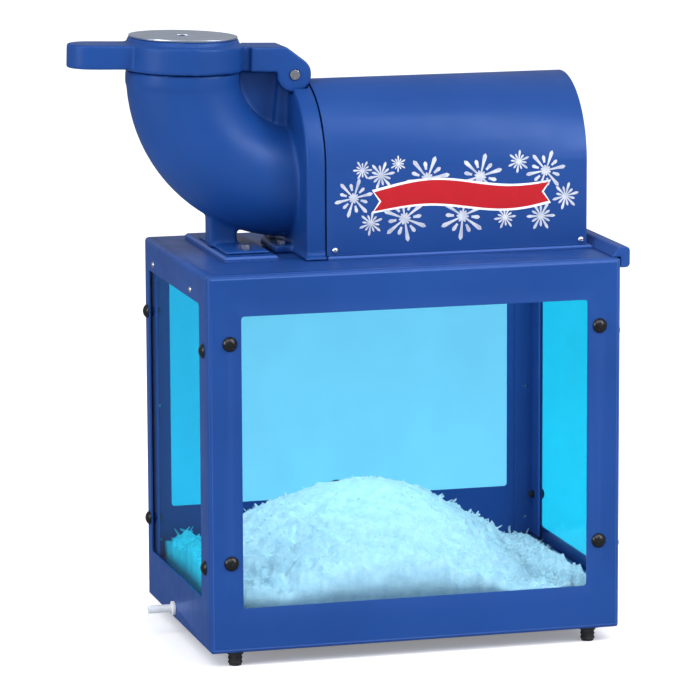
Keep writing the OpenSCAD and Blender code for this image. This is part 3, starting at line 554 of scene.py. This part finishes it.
class Film:
    """Thin flat shapes laid on the hood, each with its own small lift."""

    def __init__(self, name, lift):
        self.name, self.lift = name, lift
        self.verts, self.faces = [], []

    def shape(self, outline):
        """A closed outline in mm on the hood; each lies a little over the one before it."""
        first = len(self.verts)
        lift = self.lift + FILM_STEP * (len(self.faces) % FILM_CYCLE)
        count = len(outline)
        for across, up in outline:
            self.verts.append(on_hood(across, up, lift))
            self.verts.append(on_hood(across, up, -FILM_SINK))
        self.faces.append([first + 2 * i for i in range(count)])
        self.faces.append([first + 2 * i + 1 for i in reversed(range(count))])
        for i in range(count):
            k = (i + 1) % count
            a, b = first + 2 * i, first + 2 * k
            self.faces.append([a, a + 1, b + 1, b])

    def petal(self, centre, angle, start, end, narrow, wide, share):
        """A stroke from the centre at an angle, widest at this share of its length."""
        points = []
        steps = 9
        peak = start + (end - start) * share
        for k in range(steps + 1):
            t = start + (end - start) * k / steps
            if t < peak:
                half = narrow + (wide - narrow) * ((t - start) / (peak - start)) ** 2.2
            else:
                half = wide * math.sqrt(max(0.02, 1 - ((t - peak) / (end - peak)) ** 2))
            points.append((t, half))
        outline = [(t, -half) for t, half in points] + [(t, half) for t, half in reversed(points)]
        x, z = centre
        c, s = math.cos(angle), math.sin(angle)
        self.shape([(x + t * c - w * s, z + t * s + w * c) for t, w in outline])

    def disc(self, centre, radius, corners, turn):
        x, z = centre
        angles = [turn + 2 * math.pi * i / corners for i in range(corners)]
        self.shape([(x + radius * math.cos(a), z + radius * math.sin(a)) for a in angles])

    def add(self, look, slot):
        mesh = bpy.data.meshes.new(self.name)
        mesh.from_pydata([tuple(v) for v in self.verts], [], self.faces)
        add_piece(mesh, look, "machine", smooth=False)


def big_flake(film, x, z, r, turn):
    """Six long clubs with a loose short petal between each two, and small stubs at the centre."""
    for k in range(6):
        a = turn + k * math.pi / 3
        half = a + math.pi / 6
        film.petal((x, z), a, 0.04 * r, r, 0.035 * r, 0.095 * r, 0.84)
        film.petal((x, z), half, 0.38 * r, 0.74 * r, 0.05 * r, 0.085 * r, 0.6)
        film.petal((x, z), half, 0.04 * r, 0.27 * r, 0.03 * r, 0.05 * r, 0.6)
    film.disc((x, z), 0.115 * r, 12, turn)


def small_flake(film, x, z, r, turn):
    """Six clubs with a shorter one between each two."""
    for k in range(6):
        a = turn + k * math.pi / 3
        film.petal((x, z), a, 0.05 * r, r, 0.05 * r, 0.10 * r, 0.75)
        film.petal((x, z), a + math.pi / 6, 0.1 * r, 0.72 * r, 0.04 * r, 0.085 * r, 0.65)
    film.disc((x, z), 0.16 * r, 10, turn)


# Snowflakes around the ribbon: mm along the hood, mm up its sheet, radius, turn in degrees
BIG_FLAKES = [(33, 68, 24, 12), (96, 41, 28, 38), (124, 88, 28, 8), (168, 41, 29, 24),
              (190, 88, 28, 16), (272, 92, 25, 10)]
SMALL_FLAKES = [(44, 101, 12, 0), (54, 37, 15, 20), (67, 94, 17, 10), (88, 107, 10, 28),
                (221, 37, 14, 6), (238, 104, 14, 22), (266, 37, 18, 0), (297, 60, 17, 14)]
silver = Film("hood_snowflakes", 0.00012)
for x, z, r, turn in BIG_FLAKES:
    big_flake(silver, x, z, r, math.radians(turn))
for x, z, r, turn in SMALL_FLAKES:
    small_flake(silver, x, z, r, math.radians(turn))


def ribbon(grow):
    """Outline of a plain waving ribbon with notched ends, grown by some mm all round."""
    left, right, notch, steps = 58 - grow, 276 + grow, 9, 40
    low, high = [], []
    for k in range(steps + 1):
        t = k / steps
        x = left + (right - left) * t
        middle = 65 + 6.0 * math.sin(2 * math.pi * (t * 1.02 - 0.06)) + 3 * t
        half = 11.5 + 3.0 * math.sin(math.pi * t) + grow
        low.append((x, middle - half))
        high.append((x, middle + half))
    start = (left + notch, (low[0][1] + high[0][1]) / 2)
    end = (right - notch, (low[-1][1] + high[-1][1]) / 2)
    return low + [end] + high[::-1] + [start]


outline_film = Film("hood_ribbon_edge", 0.00020)
outline_film.shape(ribbon(2.6))
red_film = Film("hood_ribbon", 0.00028)
red_film.shape(ribbon(0))
SILVER = decal_film("silver_film", (0.66, 0.69, 0.76), (0.38, 0.42, 0.52), 0.36, 0.15)
WHITE = decal_film("white_film", (0.86, 0.87, 0.90), (0.74, 0.76, 0.80), 0.28)
RED = decal_film("red_film", (0.44, 0.004, 0.012), (0.41, 0.004, 0.011), 0.42)
silver.add(SILVER, "blue_paint")
outline_film.add(WHITE, "blue_paint")
red_film.add(RED, "blue_paint")


# ------------------------------------------------------------------ stage, camera and lights

def build_floor():
    """A wide pale floor that looks darker in reflections than it does to the camera."""
    bm = bmesh.new()
    bmesh.ops.create_grid(bm, x_segments=2, y_segments=2, size=60)
    mesh = bpy.data.meshes.new("studio_floor")
    bm.to_mesh(mesh)
    bm.free()
    floor = bpy.data.objects.new("studio_floor", mesh)
    bpy.context.scene.collection.objects.link(floor)
    s = Shader("pale_floor", (0.92, 0.92, 0.925), 0.8, Emission_Color=(1, 1, 1, 1))
    pale = s.mix(s.remap(s.noise(3, 3), 0, 1), (0.915, 0.915, 0.92), (0.925, 0.925, 0.93))
    path = s.node("ShaderNodeLightPath")
    s.colour(s.mix(path.outputs["Is Glossy Ray"], pale, (0.16, 0.17, 0.19)))
    glow = s.remap(path.outputs["Is Camera Ray"], 0, 0.25, 0, 1)
    s.link(glow, s.main.inputs["Emission Strength"])
    dress(floor, s.mat)


build_floor()

# Place in m, angles in degrees and lens in mm, fitted to the photographed machine's corners
CAMERA_AT = Vector((-1.3899, -5.1653, 1.2920))
CAMERA_YAW, CAMERA_PITCH, CAMERA_ROLL = (math.radians(a) for a in (15.292, 10.052, 0.237))
camera = bpy.data.objects.new("camera", bpy.data.cameras.new("camera"))
bpy.context.scene.collection.objects.link(camera)
camera.matrix_world = (Matrix.Translation(CAMERA_AT) @ Matrix.Rotation(-CAMERA_YAW, 4, "Z")
                       @ Matrix.Rotation(math.pi / 2 - CAMERA_PITCH, 4, "X")
                       @ Matrix.Rotation(-CAMERA_ROLL, 4, "Z"))
camera.data.lens = 230.03
camera.data.sensor_width = 36
camera.data.clip_end = 200
bpy.context.scene.camera = camera


def lamp(name, kind, energy, at, towards, **settings):
    made = bpy.data.objects.new(name, bpy.data.lights.new(name, kind))
    bpy.context.scene.collection.objects.link(made)
    made.data.energy = energy
    for key, value in settings.items():
        setattr(made.data, key, value)
    made.location = at
    made.rotation_euler = (Vector(towards) - Vector(at)).to_track_quat("-Z", "Y").to_euler()
    return made


def softbox(name, watts, at, towards, wide, tall):
    return lamp(name, "AREA", watts, at, towards, shape="RECTANGLE", size=wide, size_y=tall)


# Strength of the room's even light, and of its reflections in glossy surfaces
SKY, SKY_IN_GLOSS = 0.85, 0.40
world = bpy.data.worlds.new("studio")
bpy.context.scene.world = world
world.use_nodes = True
background = world.node_tree.nodes["Background"]
background.inputs["Color"].default_value = (0.93, 0.95, 1.0, 1)
world_path = world.node_tree.nodes.new("ShaderNodeLightPath")
dimmer = world.node_tree.nodes.new("ShaderNodeMapRange")
dimmer.inputs["To Min"].default_value = SKY
dimmer.inputs["To Max"].default_value = SKY_IN_GLOSS
world.node_tree.links.new(world_path.outputs["Is Glossy Ray"], dimmer.inputs["Value"])
world.node_tree.links.new(dimmer.outputs["Result"], background.inputs["Strength"])
lamp("key_sun", "SUN", 0.92, (-2.2, -3.0, 4.6), (0, 0, 0.3), angle=math.radians(35))
softbox("softbox_left", 44, (-3.3, -1.3, 1.4), (0, 0, 0.45), 1.2, 1.8)
softbox("softbox_top", 20, (0.75, -1.5, 2.5), (0, 0, 0.6), 1.5, 0.7)
glow = softbox("cabinet_glow", 0.40, (0.05, 0.0, 0.435), (0.05, 0.0, 0), 0.34, 0.2)
glow.visible_camera = False
fill = softbox("cabinet_fill", 0.7, (0.05, -0.11, 0.415), (0.05, 0.17, 0.24), 0.34, 0.05)
fill.data.color = (0.45, 1.0, 1.0)
fill.visible_camera = False
softbox("softbox_right", 38, (2.0, -1.8, 1.9), (0, 0, 0.4), 1.0, 1.6)
bpy.context.scene.view_settings.view_transform = "Standard"
bpy.context.scene.cycles.transparent_max_bounces = 24
